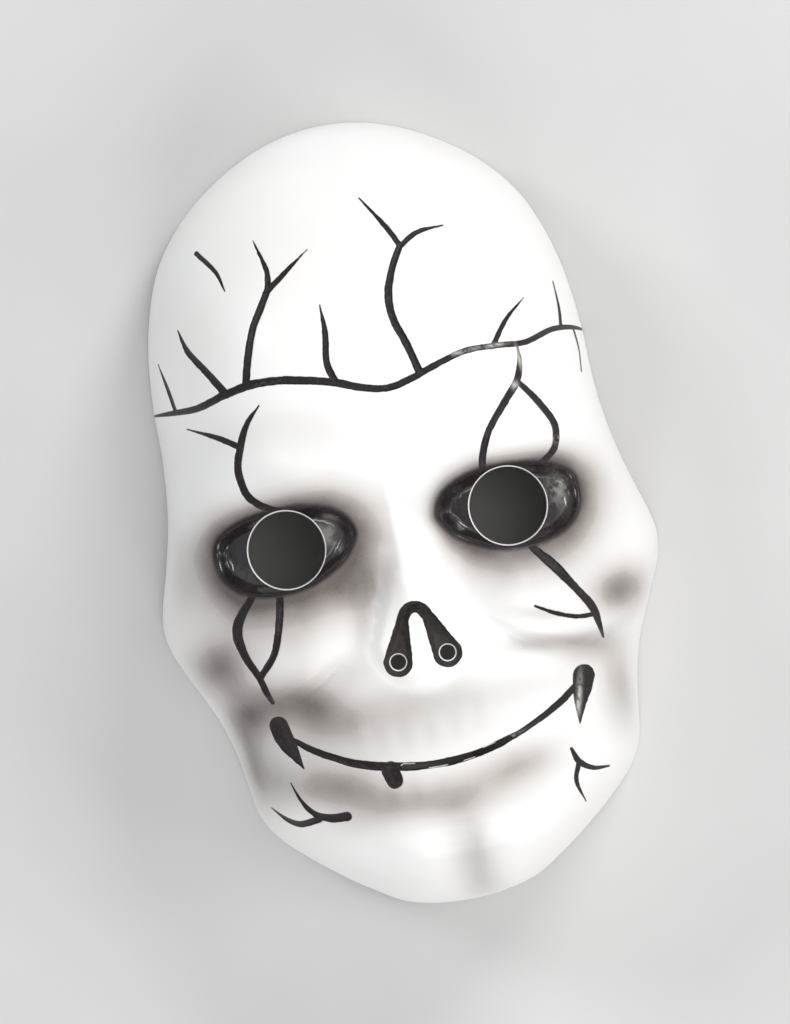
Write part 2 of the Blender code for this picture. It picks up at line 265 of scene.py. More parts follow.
# Cracks, the mouth and the gap of a tooth, each a line whose width changes along it.
# x: from the middle, y: above the eye line, width; all in millimetres.
STROKES = {
    "suture": (
        (-63, 45.4, 0.7), (-57, 44.8, 1.6), (-49, 44.5, 2.1), (-41, 46.4, 2.3), (-33, 47.7, 2.5),
        (-25, 47.4, 2.4), (-17, 45.8, 2.3), (-9, 43.6, 2.3), (-2, 40.8, 2.2), (5, 39.2, 2.0),
        (12, 40.4, 2.1), (20, 43.0, 1.9), (29, 45.2, 1.8), (38, 45.0, 1.7), (46, 44.5, 1.7),
        (54, 46.8, 1.7), (60, 46.6, 1.4), (65, 45.0, 0.5),
    ),
    "left_edge_up": ((-56, 45.5, 1.2), (-57, 52, 1.1), (-58.5, 59.5, 0.3)),
    "left_up": ((-40, 46.5, 2.4), (-44.5, 54, 2.1), (-48.8, 61, 1.7), (-50.5, 67.5, 0.4)),
    "left_long": ((-34, 48, 2.2), (-32, 55, 2.3), (-29, 63, 2.1), (-25.3, 69, 2.2), (-22.5, 73.5, 2.0)),
    "left_long_fork": ((-22.5, 73.5, 2.0), (-22, 79, 1.5), (-24.2, 88, 0.4)),
    "left_long_branch": ((-23.5, 72.3, 1.8), (-17, 77, 1.5), (-9.5, 82.3, 0.3)),
    "middle_up": ((-9, 44, 2.2), (-10.2, 50, 2.0), (-9, 58, 1.7), (-9, 66, 0.4)),
    "right_long": (
        (15, 41.5, 2.3), (13, 50, 2.2), (10.6, 58, 2.2), (10.6, 65, 2.3), (13, 72, 2.1), (16.5, 78.2, 1.9),
    ),
    "right_long_fork": ((16.5, 78.2, 1.7), (13.5, 84.5, 1.5), (7.7, 94, 0.4)),
    "right_long_branch": ((16.3, 77.8, 1.7), (22, 81, 1.5), (29.5, 81.6, 0.4)),
    "right_up": ((37, 45.5, 1.6), (42, 52, 1.2), (48, 57, 0.3)),
    "right_edge_up": ((57, 47, 1.0), (57.6, 53, 0.8), (57.4, 60.5, 0.2)),
    "right_edge_down": ((60.6, 46, 0.6), (61.0, 40, 0.45), (60.4, 33.5, 0.1)),
    "crown_left": ((-41, 88, 1.5), (-36.5, 81.5, 1.3), (-34.8, 75.5, 0.4)),
    "left_brow": (
        (-31.5, 41.5, 0.5), (-36, 37, 1.7), (-39, 31, 2.2), (-40.9, 25, 2.3), (-40.2, 18.5, 2.3),
        (-38, 15, 2.2), (-34, 12.3, 1.8), (-30, 11, 0.6),
    ),
    "left_brow_branch": ((-39, 31, 1.8), (-45, 35, 1.6), (-53.5, 39.4, 0.3)),
    "right_brow": ((43.5, 43.5, 0.5), (43.2, 39, 1.6), (41.3, 34, 2.1), (36.5, 28.5, 2.1), (31, 22, 2.0),
                   (28, 16, 2.1), (26.5, 10, 2.0)),
    "right_brow_branch": ((41.3, 34.4, 1.6), (46, 27.5, 2.0), (49.4, 20.5, 2.1),
                           (49, 15.5, 2.0), (47, 12.2, 1.9), (42.5, 9.6, 1.6)),
    "left_cheek": (
        (-43, -10, 2.0), (-47.6, -15, 2.6), (-50.3, -20, 3.1), (-49.5, -27, 2.4), (-47, -33, 2.1),
        (-45.6, -38, 2.0), (-44.4, -41.6, 1.3),
    ),
    "left_cheek_branch": ((-36, -11, 2.2), (-38, -20, 2.2), (-41, -28, 2.1), (-46, -33.6, 1.9)),
    "right_cheek": (
        (35, -11, 1.8), (38, -15, 2.4), (41.2, -19, 3.0), (46, -26.4, 2.3), (49.6, -32.5, 2.5),
        (50.6, -37, 1.9), (51.2, -42, 0.7),
    ),
    "right_cheek_branch": ((33.8, -29.3, 0.7), (39.5, -32.6, 1.2), (45, -34.6, 1.3), (50.3, -35, 1.4)),
    "left_jaw": (
        (-44, -65, 0.3), (-42, -70.6, 1.1), (-38.8, -75, 1.9), (-34.5, -76.9, 2.5), (-30, -77.2, 2.8),
    ),
    "left_jaw_branch": ((-51.2, -71.4, 0.3), (-47.3, -75.3, 1.4), (-43.5, -77.2, 2.0), (-38, -76.6, 2.1)),
    "right_jaw": ((36, -71, 1.0), (37.4, -75, 1.9), (41, -77.7, 1.4), (45.5, -78.4, 0.7)),
    "right_jaw_branch": ((37.2, -75.4, 1.6), (35.6, -80.5, 1.3), (37.2, -87, 0.3)),
    "mouth": (
        (-42, -52.4, 1.4), (-36, -56.9, 2.0), (-30, -60.3, 2.1), (-24.5, -62.9, 2.4), (-19, -64.6, 2.5),
        (-14, -65.7, 2.5), (-9, -66.7, 2.5), (-3, -67.2, 2.2), (3, -67.3, 2.4), (10, -66.6, 2.1),
        (16, -65.3, 2.2), (19.5, -64.2, 1.8),
        (23, -63.2, 1.6), (30, -60.2, 1.8), (36, -57.1, 2.1), (41, -53.6, 1.8),
    ),
    "mouth_left_end": (
        (-44.2, -48.6, 5.6), (-43.3, -52.5, 5.4), (-41.6, -56.6, 3.7), (-39.4, -61.6, 0.3),
    ),
    "mouth_right_end": (
        (43.6, -51.6, 6.4), (42.6, -54.6, 5.6), (41.2, -58.6, 3.6), (39.8, -64.5, 0.4),
    ),
    "tooth_gap": ((-15.2, -66.6, 5.2), (-14.6, -69.6, 4.8)),
}

# Painted highlights: pale patches on the black paint where its gloss catches the light, coloured as if the paint
# were thin there. x, y, spread_x, spread_y: millimetres from the middle and the eye line, tilt: degrees, share:
# how strong.
PAINTED_HIGHLIGHTS = (
    # x, y, spread_x, spread_y, tilt, share
    (28, 45.2, 4.5, 0.50, 3, 0.90),
    (37.5, 45.2, 3, 0.45, 0, 0.95),
    (43.3, 40.5, 0.5, 3.2, 2, 0.90),
    (40.6, 33.0, 1.0, 1.2, 0, 0.85),
    (49.2, 15.6, 1.5, 0.8, 0, 0.80),
    (13, -66.2, 3.5, 0.35, 10, 0.90),
    (20, -63.9, 3, 0.35, 14, 0.70),
    (41.0, -57.2, 0.65, 5.5, -15, 0.98),
    (46.8, 1.5, 2.6, 4.4, 0, 0.40),
    (-19.0, 2.0, 2.0, 4.0, 0, 0.30),
)

# Grey airbrushing together with painted shade: darker in hollows, creases, the chin cleft, beside the nose and
# over the brow, and heavier on the left side, away from the light. x, y, spread_x, spread_y: millimetres from the
# middle and the eye line, tilt: degrees, depth: how dark.
AIRBRUSH_AND_PAINTED_SHADE = (
    # x, y, spread_x, spread_y, tilt, depth
    (-57.5, -29, 9, 8.5, 0, 0.84),  # ovals under the cheekbones
    (58.5, -29.5, 9, 7, 0, 0.80),
    (-49, -42, 8, 7, 0, 0.46),
    # the hollow, teeth and mouth marks on the left only are painted shade
    (-36, -42.5, 11, 6, -8, 0.58),  # hollow of the left cheek
    (-28, -52, 24, 8, -12, 0.50),  # the left half of the upper teeth
    (-8, -47, 20, 6, 0, 0.24),
    (14, -51, 26, 5, 0, 0.24),
    (6, -59, 20, 5, 4, 0.14),
    (-17, -13, 7, 7, 0, 0.46),  # beside the nose
    (-13.5, -20, 4, 9, 12, 0.30),
    (-10.5, -12, 3.5, 8, 8, 0.34),
    (-16, -28, 3.5, 6, 0, 0.20),
    (-20, -37, 8, 5, 0, 0.26),
    (-55, -54, 7, 15, 0, 0.60),  # sides of the jaw
    (54, -57, 6, 12, 0, 0.54),
    (47, -44, 9, 4.5, 0, 0.44),
    # painted shade over and in the crease
    (36, -32, 9, 2.2, -15, 0.32),  # over and in the crease of the right cheekbone
    (35, -40, 13, 2.8, -6, 0.46),
    (-33, -68, 20, 7.0, -14, 0.66),  # under the left half of the mouth
    (-10, -77, 22, 6.0, 4, 0.46),  # under the lower teeth
    (4, -81, 12, 5.0, 0, 0.14),
    (22, -72, 15, 6.0, 12, 0.44),
    # painted shade in the cleft
    (3.2, -97, 6.0, 15, 3, 0.46),  # chin cleft
    (-28, 34, 18, 6.0, -4, 0.13),  # over the left brow
    (-15, 24, 7, 10, 0, 0.08),
    (-64, -2, 5, 10, 0, 0.22),  # left of the left socket
)
# The airbrushing round a socket, with painted shade in it, and how far it reaches from the left and the right
# one, in millimetres; the longer reach of the left one is painted shade.
HALO = 0.96
HALO_POWER = 1.6
HALO_REACH = (
    # inward, outward, up, down
    (9.6, 7.6, 4.0, 12.2),
    (2.4, 7.2, 3.2, 9.0),
)
CLEAN_PAD = 0.85  # how much of the airbrushing the pad round the nose is kept clear of
CLEAN_EDGE = 4.0 * MM
SIDE_SHADE = 0.2  # the share of the airbrushing that is left at the foot of the side walls
SIDE_FADE = (10 * MM, 38 * MM)

CAMERA_ROLL = 11.4  # degrees, the crown to the left
CAMERA_YAW = 0.6  # degrees, to the right side
CAMERA_DISTANCE = 2.4
CAMERA_SHARE = 0.78  # the mask's length over the picture's height
SENSOR = 36.0  # millimetres

# Lights, all aimed at one point. place, size: metres, power: watts.
LIGHT_TARGET = (0, 0, 0.04)
LIGHTS = (
    # name, place, size, power, colour
    ("key", (0.40, 0.06, 1.60), 0.75, 3.6, (1.0, 0.99, 0.97)),
    ("right", (1.25, -0.45, 0.75), 0.8, 5.4, (1, 1, 1)),
    ("chin", (-0.10, -1.30, 0.80), 0.9, 9.4, (1, 1, 1)),
    ("upper_right", (0.85, 1.00, 0.95), 0.60, 11.5, (1, 1, 1)),
    ("upper_left", (-0.95, 0.80, 0.95), 0.46, 5.6, (0.97, 0.985, 1.0)),
)
ROOM_COLOUR = (0.93, 0.95, 1.0, 1)
ROOM_STRENGTH = 0.47

# Floor, a little under the rim
FLOOR_SIZE = 8.0
FLOOR_DROP = 0.3 * MM
FLOOR_ROUGHNESS = 0.75

# Colours
WHITE = (0.88, 0.874, 0.855, 1)
WARM_WHITE = (0.85, 0.836, 0.806, 1)
# HAZE and SMOKE: the light and the dark grey of the airbrushing and painted shade
HAZE = (0.470, 0.432, 0.402, 1)
SMOKE = (0.078, 0.062, 0.054, 1)
BLACK = (0.0140, 0.0100, 0.0105, 1)
DUSTY_BLACK = (0.030, 0.026, 0.024, 1)
DULL_BLACK = (0.048, 0.041, 0.037, 1)
# colour of the mottled painted reflection on the sockets' floors
REFLECTION_GREY = (0.105, 0.098, 0.090, 1)
# colour of the painted highlights on the black
SHEEN_COLOUR = (0.62, 0.59, 0.55, 1)
FLOOR_DARK = (0.56, 0.555, 0.545, 1)
FLOOR_LIGHT = (0.60, 0.595, 0.585, 1)

# Where paint starts and is full, in millimetres inward from its edge
STROKE_EDGE = (-0.08, 0.12)
SOCKET_EDGE = (-1.0, 0.40)
# where the painted reflection in a socket starts and is full
REFLECTION_EDGE = (3.0, 5.5)
NOSE_EDGE = (0.0, 0.8)
DRY_EDGE = (0.2, 1.6)
COAT_EDGE = (0.6, 1.8)

# Roughness of the white, the glossy black and the bare plastic, from and to, and of the thin and the nose's black
MATTE = (0.34, 0.44)
GLOSS = (0.20, 0.29)
BARE = (0.42, 0.56)
DRY_PAINT = 0.46
NOSE_PAINT = 0.62

# Shares
SPECULAR = 0.30
COAT = 0.9  # clear gloss in the sockets
COAT_ROUGHNESS = 0.16
DARKEST_GREY = 0.94
SOCKET_REFLECTION = 0.85  # painted reflection on the floor of the sockets


def smooth_step(value):
    """0 below 0, 1 above 1 and a smooth rise between."""
    share = np.clip(value, 0.0, 1.0)
    return share * share * (3.0 - 2.0 * share)


def through(stations, values, at):
    """A smooth curve through a column of the sections table, read at any place, flat past its ends."""
    knots = np.array(stations)
    heights = np.array(values)
    slopes = np.gradient(heights, knots)
    place = np.clip(at, knots[0], knots[-1])
    index = np.clip(np.searchsorted(knots, place) - 1, 0, len(knots) - 2)
    gap = knots[index + 1] - knots[index]
    t = (place - knots[index]) / gap
    start = (1 + 2 * t) * (1 - t) ** 2 * heights[index] + t * (1 - t) ** 2 * gap * slopes[index]
    end = t * t * (3 - 2 * t) * heights[index + 1] + t * t * (t - 1) * gap * slopes[index + 1]
    return start + end


def round_end(at):
    """How the plan narrows to its two ends."""
    return np.sqrt(np.maximum(1.0 - at * at, 0.0))


def blunt_end(at):
    """How the height drops at the chin and the crown."""
    return np.sqrt(np.maximum(1.0 - at**6, 0.0))


def half_width(at):
    """The half width over the round end's, so that it has no steep end of its own."""
    stations, widths, _, _ = zip(*SECTIONS)
    shares = np.array(widths) / round_end(np.array(stations))
    return through(stations, shares, at) * WIDTH / 2


def main_form(x, y):
    """The height of the plain shell, without its relief."""
    stations, _, heights, powers = zip(*SECTIONS)
    at = np.clip(y / (LENGTH / 2), -1.0, 1.0)
    middle = through(stations, np.array(heights) / blunt_end(np.array(stations)), at) * blunt_end(at)
    width = np.maximum(half_width(at) * round_end(at), 1e-9)
    out = np.clip(np.abs(x) / width, 0.0, 1.0)
    return DEPTH * middle * np.sqrt(1.0 - out ** through(stations, powers, at))


def swelling(x, y, centre, spread, turn):
    """A round swelling of height 1 with its own spread each way."""
    across, along = x - centre[0], y - centre[1]
    u = (across * math.cos(turn) + along * math.sin(turn)) / spread[0]
    v = (along * math.cos(turn) - across * math.sin(turn)) / spread[1]
    return np.exp(-u * u - v * v)


def bosses(x, y):
    total = np.zeros(np.shape(x))
    for at_x, at_y, spread_x, spread_y, tilt, rise in BOSSES:
        spread = (spread_x * WIDTH / 2, spread_y * LENGTH / 2)
        for side in (1, -1) if at_x else (1,):
            centre = (side * at_x * WIDTH / 2, at_y * LENGTH / 2)
            total += rise * RELIEF * swelling(x, y, centre, spread, math.radians(tilt) * side)
    return total


def above_crease(x, y):
    """The height above the crease on the cheekbone's underside."""
    out = np.abs(x)
    return y - EYE_LINE + CREASE_DROP - CREASE_RISE * ((out - CREASE_AT) / CREASE_REACH) ** 2


def cheekbone(x, y):
    """The lift of the cheekbones above the crease on their underside."""
    above = above_crease(x, y)
    start = smooth_step((np.abs(x) - CHEEK_INNER) / CREASE_REACH)
    step = smooth_step(above / CREASE_EDGE + 0.5)
    return CHEEK_LIFT * start * step * np.exp(-((np.maximum(above, 0.0) / CHEEK_HEIGHT) ** 2))


def smooth_run(points, steps, closed):
    """Points of a smooth curve through chosen ones, each with as many numbers as those have."""
    if closed:
        before, after, beyond = np.roll(points, 1, 0), np.roll(points, -1, 0), np.roll(points, -2, 0)
        here = points
    else:
        ends = np.concatenate((2 * points[:1] - points[1:2], points, 2 * points[-1:] - points[-2:-1]))
        before, here, after, beyond = ends[:-3], ends[1:-2], ends[2:-1], ends[3:]
    run = []
    for step in range(steps):
        t = step / steps
        curve = 2 * here + (after - before) * t
        curve = curve + (2 * before - 5 * here + 4 * after - beyond) * t * t
        curve = curve + (3 * here - before - 3 * after + beyond) * t**3
        run.append(curve / 2)
    made = np.stack(run, 1).reshape(-1, points.shape[1])
    return made if closed else np.concatenate((made, points[-1:]))


def socket_outline():
    """The closed outline of the right socket."""
    inward = EYE_SPACING / 2 - SOCKET_INNER
    outward = WIDTH / 2 - SOCKET_SIDE - EYE_SPACING / 2
    across, along = np.array(SOCKET).T
    across = EYE_SPACING / 2 + across * np.where(across < 0, inward, outward)
    return smooth_run(np.stack((across, EYE_LINE + along * SOCKET_HEIGHT / 2), -1), SOCKET_STEPS, True)


def stroke_lines():
    """Each stroke as points of its smooth middle line, with the half width there, in metres."""
    lines = []
    for points in STROKES.values():
        run = smooth_run(np.array(points, float), STROKE_STEPS, False) * MM
        run[:, 1] += EYE_LINE
        run[:, 2] = np.maximum(run[:, 2], THINNEST) / 2
        lines.append(run)
    return lines


OUTLINE = socket_outline()
LINES = stroke_lines()


def inside_socket(x, y):
    """The distance inward from the edge of a socket, negative outside it."""
    away = np.full(np.shape(x), np.inf)
    inside = np.zeros(np.shape(x), bool)
    out = np.abs(x)
    for (x0, y0), (x1, y1) in zip(OUTLINE, np.roll(OUTLINE, -1, 0)):
        run, climb = x1 - x0, y1 - y0
        t = np.clip(((out - x0) * run + (y - y0) * climb) / (run * run + climb * climb), 0.0, 1.0)
        away = np.minimum(away, np.hypot(out - x0 - t * run, y - y0 - t * climb))
        crosses = (y0 > y) != (y1 > y)
        inside ^= crosses & (out < x0 + (y - y0) * run / (climb if climb else 1e-12))
    return np.where(inside, away, -away)


def inside_nose(x, y):
    """The distance inward from the edge of the nose opening, negative outside it."""
    across, down, radius = smooth_run(np.array(NOSE_LEG), STROKE_STEPS, False).T
    leg = np.stack((across * NOSE_SPREAD, EYE_LINE - NOSE_TOP - down * NOSE_LENGTH, radius * NOSE_RADIUS), -1)
    return inside_line(np.abs(x), y, leg)


def inside_pad(x, y):
    """The distance inward from the edge of the pad round the nose opening."""
    top = EYE_LINE - PAD_TOP
    return inside_line(x, y, ((0.0, top, PAD_TOP_RADIUS), (0.0, top - PAD_LENGTH, PAD_FOOT_RADIUS)))


def inside_line(x, y, line):
    """The distance inward from the edge of a line of changing width, negative outside it."""
    best = np.full(np.shape(x), -FAR)
    for (x0, y0, r0), (x1, y1, r1) in zip(line[:-1], line[1:]):
        run, climb = x1 - x0, y1 - y0
        t = np.clip(((x - x0) * run + (y - y0) * climb) / (run * run + climb * climb), 0.0, 1.0)
        best = np.maximum(best, r0 + (r1 - r0) * t - np.hypot(x - x0 - t * run, y - y0 - t * climb))
    return best


def inside_strokes(x, y):
    """The distance inward from the edge of the nearest stroke, negative outside them all."""
    best = np.full(np.shape(x), -FAR)
    for line in LINES:
        near = (x > line[:, 0].min() - FAR) & (x < line[:, 0].max() + FAR)
        near &= (y > line[:, 1].min() - FAR) & (y < line[:, 1].max() + FAR)
        best[near] = np.maximum(best[near], inside_line(x[near], y[near], line))
    return best


def mouth_line(x):
    return EYE_LINE - MOUTH_DROP + MOUTH_RISE * (x / MOUTH_HALF) ** 2


def teeth(x, y):
    """Faint fronts of teeth in two rows, with a shallow furrow between each two."""
    above = y - mouth_line(x)
    front = 0.5 + 0.5 * np.cos(2 * math.pi * x / TOOTH_WIDTH)
    ends = smooth_step((TEETH_HALF - np.abs(x)) / (2 * TOOTH_WIDTH))
    rows = 0.0
    for start, end in (UPPER_TEETH, LOWER_TEETH):
        soft = (end - start) / 2
        rows = rows + smooth_step((above - start) / soft) * smooth_step((end - above) / soft)
    return TOOTH_RELIEF * front * ends * rows


def relief(x, y):
    """What raises or sinks the plain shell, without the cracks and other fine forms."""
    from_eye = np.hypot(np.abs(x) - EYE_SPACING / 2, y - EYE_LINE) / EYE_BULGE_REACH
    floor = SOCKET_SINK - EYE_BULGE * np.exp(-(from_eye**2))
    made = bosses(x, y) + cheekbone(x, y)
    made = made - floor * smooth_step(inside_socket(x, y) / SOCKET_SLOPE)
    made = made + PAD_RISE * smooth_step(inside_pad(x, y) / PAD_SLOPE)
    return made - NOSE_SINK * smooth_step(inside_nose(x, y) / NOSE_SLOPE)


def fine_forms(x, y):
    """The socket's lips, teeth, chin cleft and cracks."""
    lip = SOCKET_LIP * np.exp(-((np.minimum(inside_socket(x, y), 0.0) / SOCKET_LIP_REACH) ** 2))
    cleft = swelling(x, y, (CLEFT_AT, EYE_LINE + CLEFT_LINE), (CLEFT_SPREAD, CLEFT_REACH), 0.0)
    inside = inside_strokes(x, y)
    groove = GROOVE_SINK * smooth_step(inside / GROOVE_SLOPE + GROOVE_EARLY)
    groove = groove + GROOVE_DEEPENING * smooth_step((inside - GROOVE_MARGIN) / GROOVE_DISH)
    groove = groove * smooth_step(-inside_socket(x, y) / GROOVE_STOP)
    return lip + teeth(x, y) - CLEFT_SINK * cleft - groove


def height(x, y, fine=True):
    """The height of the shell's outer face above the rim plane."""
    plain = main_form(x, y)
    extra = relief(x, y)
    if fine:
        extra = extra + fine_forms(x, y)
    return plain + extra * smooth_step(plain / (RELIEF_FADE * DEPTH))


def normals(x, y, step, fine):
    """The outward direction of the height's face."""
    slope_x = (height(x + step, y, fine) - height(x - step, y, fine)) / (2 * step)
    slope_y = (height(x, y + step, fine) - height(x, y - step, fine)) / (2 * step)
    made = np.stack((-slope_x, -slope_y, np.ones(np.shape(x))), -1)
    return made / np.linalg.norm(made, axis=-1, keepdims=True)


def plan(across, along):
    """The place on the plan of a point of the square from -1 to 1, with rows closer at the rim and the face."""
    along = along - FACE_SHARE * (1 - along**2)
    u = across * np.sqrt(1 - along**2 / 2)
    v = along * np.sqrt(1 - across**2 / 2)
    radius = np.maximum(np.hypot(u, v), 1e-9)
    spread = (1 - RIM_SHARE) + RIM_SHARE * np.sin(radius * math.pi / 2) / radius
    u, v = u * spread, v * spread
    return u * half_width(v), v * LENGTH / 2


def outer_place(square):
    x, y = plan(square[:, 0], square[:, 1])
    return np.stack((x, y, height(x, y)), -1)


def inner_place(square):
    x, y = plan(square[:, 0], square[:, 1])
    outer = np.stack((x, y, height(x, y, False)), -1)
    return outer - WALL * normals(x, y, INNER_STEP, False)


def slit_line(half):
    places = np.linspace(SLIT_LEFT + half, SLIT_RIGHT - half, SLIT_STEPS)
    return np.stack((places, mouth_line(places), np.full(SLIT_STEPS, half)), -1)


def outside_holes(places, bevel):
    """The distance from the nearest hole's edge, negative inside a hole."""
    x, y, z = places.T
    out = np.abs(x)
    eye = np.hypot(out - EYE_SPACING / 2, y - EYE_LINE) - EYE_HOLE / 2 - bevel
    nostril = np.hypot(out - NOSE_SPREAD, y - EYE_LINE + NOSE_FOOT) - NOSTRIL / 2 - bevel
    slit = -inside_line(x, y, slit_line(SLIT_WIDTH / 2)) - bevel * SLIT_BEVEL / HOLE_BEVEL
    strap = np.hypot(y - EYE_LINE - STRAP_LINE, z - STRAP_HEIGHT) - STRAP_HOLE / 2
    strap = np.where(out > STRAP_SEARCH, strap, OUT_OF_REACH)
    return np.minimum(np.minimum(eye, nostril), np.minimum(slit, strap))


def hole_distance(x, y):
    """How far a place is from the nearest hole in the face or edge of the nose opening, 0 at a strap hole."""
    hole = np.abs(outside_holes(np.stack((x, y, np.full(np.shape(x), OUT_OF_REACH)), -1), HOLE_BEVEL))
    strap = np.hypot(y - EYE_LINE - STRAP_LINE, height(x, y, False) - STRAP_HEIGHT)
    return np.where(strap < STRAP_ZONE, 0.0, np.minimum(hole, np.abs(inside_nose(x, y))))


def edge_distance(x, y):
    """How far a place is from the nearest painted edge or hole, or a little more from the crease."""
    painted = np.minimum(np.abs(inside_socket(x, y)), np.abs(inside_strokes(x, y)))
    crease = np.where(np.abs(x) > CHEEK_INNER, np.abs(above_crease(x, y)), FAR)
    crease = np.where(crease < CREASE_BAND, OUTER_BANDS[1], FAR)
    return np.minimum(np.minimum(hole_distance(x, y), painted), crease)


def square_grid(bands, distance):
    """The square from -1 to 1 as triangles, with its cells halved within each band of an edge."""
    grid = bmesh.new()
    columns = np.linspace(-1, 1, CELLS_ACROSS + 1)
    rows = np.linspace(-1, 1, CELLS_ALONG + 1)
    points = [[grid.verts.new((a, b, 0)) for a in columns] for b in rows]
    for j in range(CELLS_ALONG):
        for i in range(CELLS_ACROSS):
            grid.faces.new((points[j][i], points[j][i + 1], points[j + 1][i + 1], points[j + 1][i]))
    for band in bands:
        faces = list(grid.faces)
        middles = np.array([face.calc_center_median()[:2] for face in faces])
        x, y = plan(middles[:, 0], middles[:, 1])
        close = distance(x, y) < band
        edges = {edge for face, chosen in zip(faces, close) if chosen for edge in face.edges}
        order = sorted(edges, key=lambda edge: edge.index)
        bmesh.ops.subdivide_edges(grid, edges=order, cuts=1, use_grid_fill=True)
        grid.edges.index_update()
    bmesh.ops.triangulate(grid, faces=grid.faces[:])
    grid.verts.index_update()
    square = np.array([vertex.co[:2] for vertex in grid.verts])
    triangles = np.array([[vertex.index for vertex in face.verts] for face in grid.faces])
    grid.free()
    return square, triangles


def clipped(square, triangles, place, bevel):
    """The sheet without its holes, cut along their edges."""

    def keep(points):
        return outside_holes(place(points), bevel)

    inside = keep(square) > 0
    count = inside[triangles].sum(1)
    whole = triangles[count == 3]
    cut = triangles[(count == 1) | (count == 2)]
    kept = inside[cut]
    lone = np.where(kept.sum(1) == 1, kept.argmax(1), (~kept).argmax(1))
    a, b, c = (cut[np.arange(len(cut)), (lone + k) % 3] for k in range(3))
    pairs = np.sort(np.concatenate((np.stack((a, b), 1), np.stack((a, c), 1))), axis=1)
    unique, number = np.unique(pairs, axis=0, return_inverse=True)
    number = number.reshape(-1) + len(square)
    first, second = square[unique[:, 0]], square[unique[:, 1]]
    starts_inside = inside[unique[:, 0]]
    near, far = np.zeros(len(unique)), np.ones(len(unique))
    for _ in range(CUT_HALVINGS):
        middle = (near + far) / 2
        same = (keep(first + middle[:, None] * (second - first)) > 0) == starts_inside
        near, far = np.where(same, middle, near), np.where(same, far, middle)
    made = first + ((near + far) / 2)[:, None] * (second - first)
    ab, ac = number[: len(cut)], number[len(cut) :]
    single = inside[a]
    pieces = [
        whole,
        np.stack((a, ab, ac), 1)[single],
        np.stack((ab, b, c), 1)[~single],
        np.stack((ab, c, ac), 1)[~single],
    ]
    points, faces = np.concatenate((square, made)), np.concatenate(pieces)
    used, faces = np.unique(faces, return_inverse=True)
    return points[used], faces.reshape(-1, 3)


def ring_faces(count, rows):
    """Quads between rows of a closed ring."""
    faces = []
    for row in range(rows - 1):
        for k in range(count):
            start, after = row * count, row * count + count
            faces.append((start + k, start + (k + 1) % count, after + (k + 1) % count, after + k))
    return faces


def round_outline(x, y, radius, steps):
    turns = np.arange(steps) * 2 * math.pi / steps
    return np.stack((x + radius * np.cos(turns), y + radius * np.sin(turns)), -1)


def slit_outline(half):
    """The outline of the mouth slit, its two long sides joined by round ends."""
    line = slit_line(SLIT_WIDTH / 2)
    places = line[:, :2]
    along = np.gradient(places, axis=0)
    along /= np.linalg.norm(along, axis=1, keepdims=True)
    side = np.stack((-along[:, 1], along[:, 0]), -1) * half
    start, end = math.atan2(*-side[0, ::-1] + 0.0), math.atan2(*-side[-1, ::-1] + 0.0)
    turn = np.linspace(0, math.pi, SLIT_END_STEPS)[1:-1]
    right = places[-1] + half * np.stack((np.cos(end + turn), np.sin(end + turn)), -1)
    left = places[0] + half * np.stack((np.cos(start + math.pi + turn), np.sin(start + math.pi + turn)), -1)
    return np.concatenate((places - side, right, (places + side)[::-1], left))


def hole_lip(outline_at, bevel):
    """The cut edge of a hole that runs straight through: a bevel, then the wall's thickness."""
    wide, plain = outline_at(bevel), outline_at(0.0)
    x, y = plain.T
    top = height(wide[:, 0], wide[:, 1])
    step_slope = normals(x, y, INNER_STEP, False)[:, 2]
    bottom = height(x, y, False) - WALL / step_slope
    middle = np.maximum(height(x, y) - bevel, bottom)
    rows = [np.column_stack((wide, top)), np.column_stack((plain, middle)), np.column_stack((plain, bottom))]
    return np.concatenate(rows), ring_faces(len(plain), 3)


def strap_lip(side):
    """The cut edge of a strap hole through the side wall."""
    outline = round_outline(EYE_LINE + STRAP_LINE, STRAP_HEIGHT, STRAP_HOLE / 2, SMALL_RING_STEPS)
    y, z = outline.T
    near, far = np.full(len(y), STRAP_SEARCH), half_width(y / (LENGTH / 2)) * round_end(y / (LENGTH / 2))
    for _ in range(WALL_HALVINGS):
        middle = (near + far) / 2
        above = height(middle, y) > z
        near, far = np.where(above, middle, near), np.where(above, far, middle)
    outer = np.stack((side * near, y, z), -1)
    inner = outer - (side * STRAP_LIP, 0, 0)
    rows = [outer, inner] if side > 0 else [inner, outer]
    return np.concatenate(rows), ring_faces(len(y), 2)


def rim_strip():
    """The flat edge on which the mask lies."""
    t = np.linspace(-1, 1, RIM_STEPS // 4 + 1)[:-1]
    one = np.ones(len(t))
    square = np.concatenate(
        (np.stack((t, -one), 1), np.stack((one, t), 1), np.stack((-t, one), 1), np.stack((-one, -t), 1))
    )
    outer, inner = outer_place(square), inner_place(square)
    inner[:, 2] = outer[:, 2] = 0.0
    return np.concatenate((inner, outer)), ring_faces(RIM_STEPS, 2)


